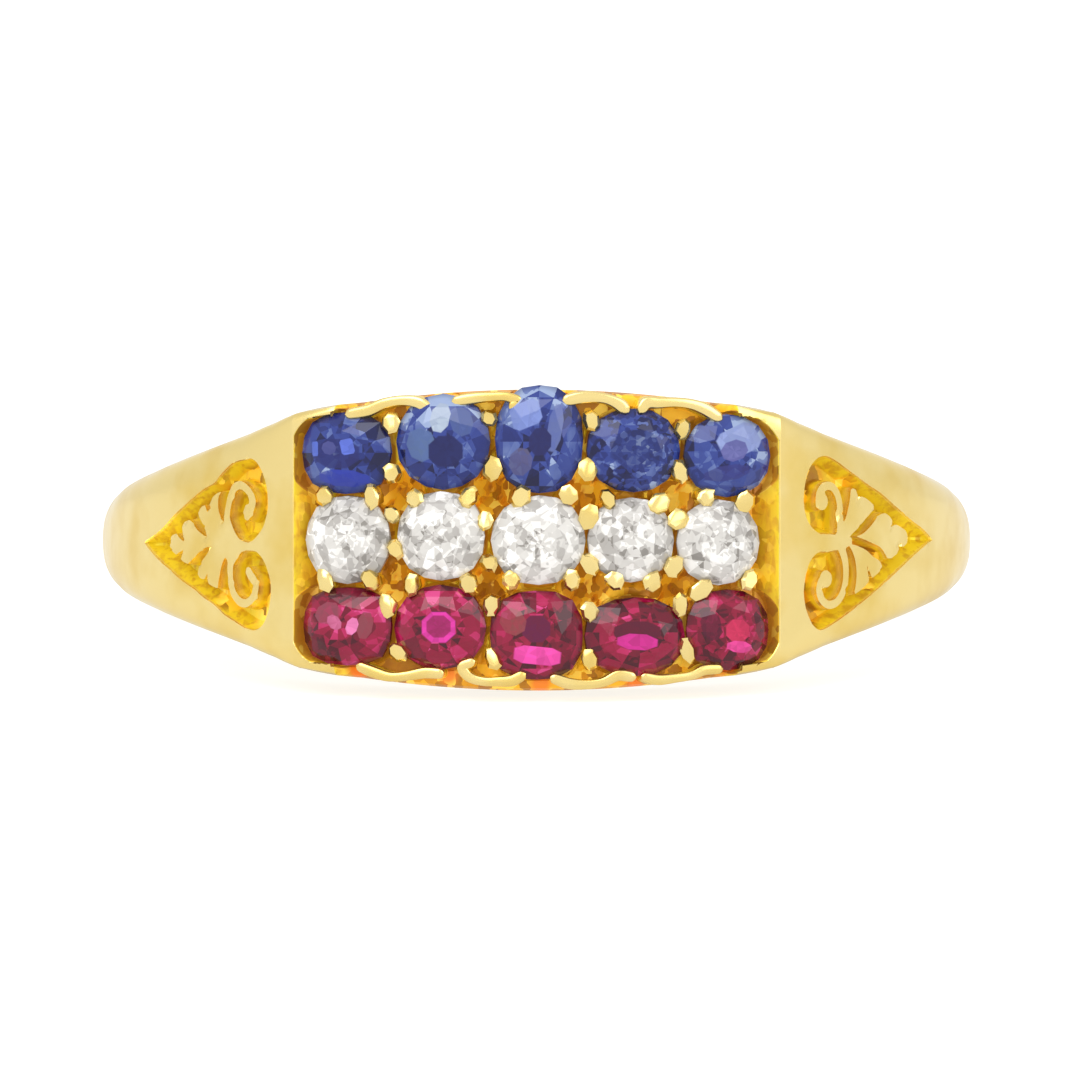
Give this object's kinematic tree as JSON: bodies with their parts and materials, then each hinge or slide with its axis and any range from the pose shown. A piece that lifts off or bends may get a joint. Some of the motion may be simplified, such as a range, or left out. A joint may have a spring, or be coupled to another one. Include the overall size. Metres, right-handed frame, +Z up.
{
  "type": "gemstone cluster ring",
  "caption": "Finger ring with a boat-shaped head of small faceted stones held in rows of claws, and tapering shoulders with raised palmettes in heart-shaped recesses.",
  "frame": {"origin": "middle of the bounding box on the surface that the ring lies on", "axes": "+X along the head's length, +Y from the head to the back of the band, +Z up off the surface. The finger hole's axis leans from +Z towards +Y by the angle at which the ring rests."},
  "size_m": [0.0196, 0.0209, 0.0069],
  "materials": {
    "gold": "polished yellow gold, softly worn",
    "sapphire": "polished facets, medium blue",
    "diamond": "polished facets, clear",
    "ruby": "polished facets, pinkish red"
  },
  "bodies": {
    "root": {"ring_mount": "gold", "sapphire_1": "sapphire", "sapphire_2": "sapphire", "sapphire_3": "sapphire", "sapphire_4": "sapphire", "sapphire_5": "sapphire", "diamond_1": "diamond", "diamond_2": "diamond", "diamond_3": "diamond", "diamond_4": "diamond", "diamond_5": "diamond", "ruby_1": "ruby", "ruby_2": "ruby", "ruby_3": "ruby", "ruby_4": "ruby", "ruby_5": "ruby"}
  },
  "joints": []
}
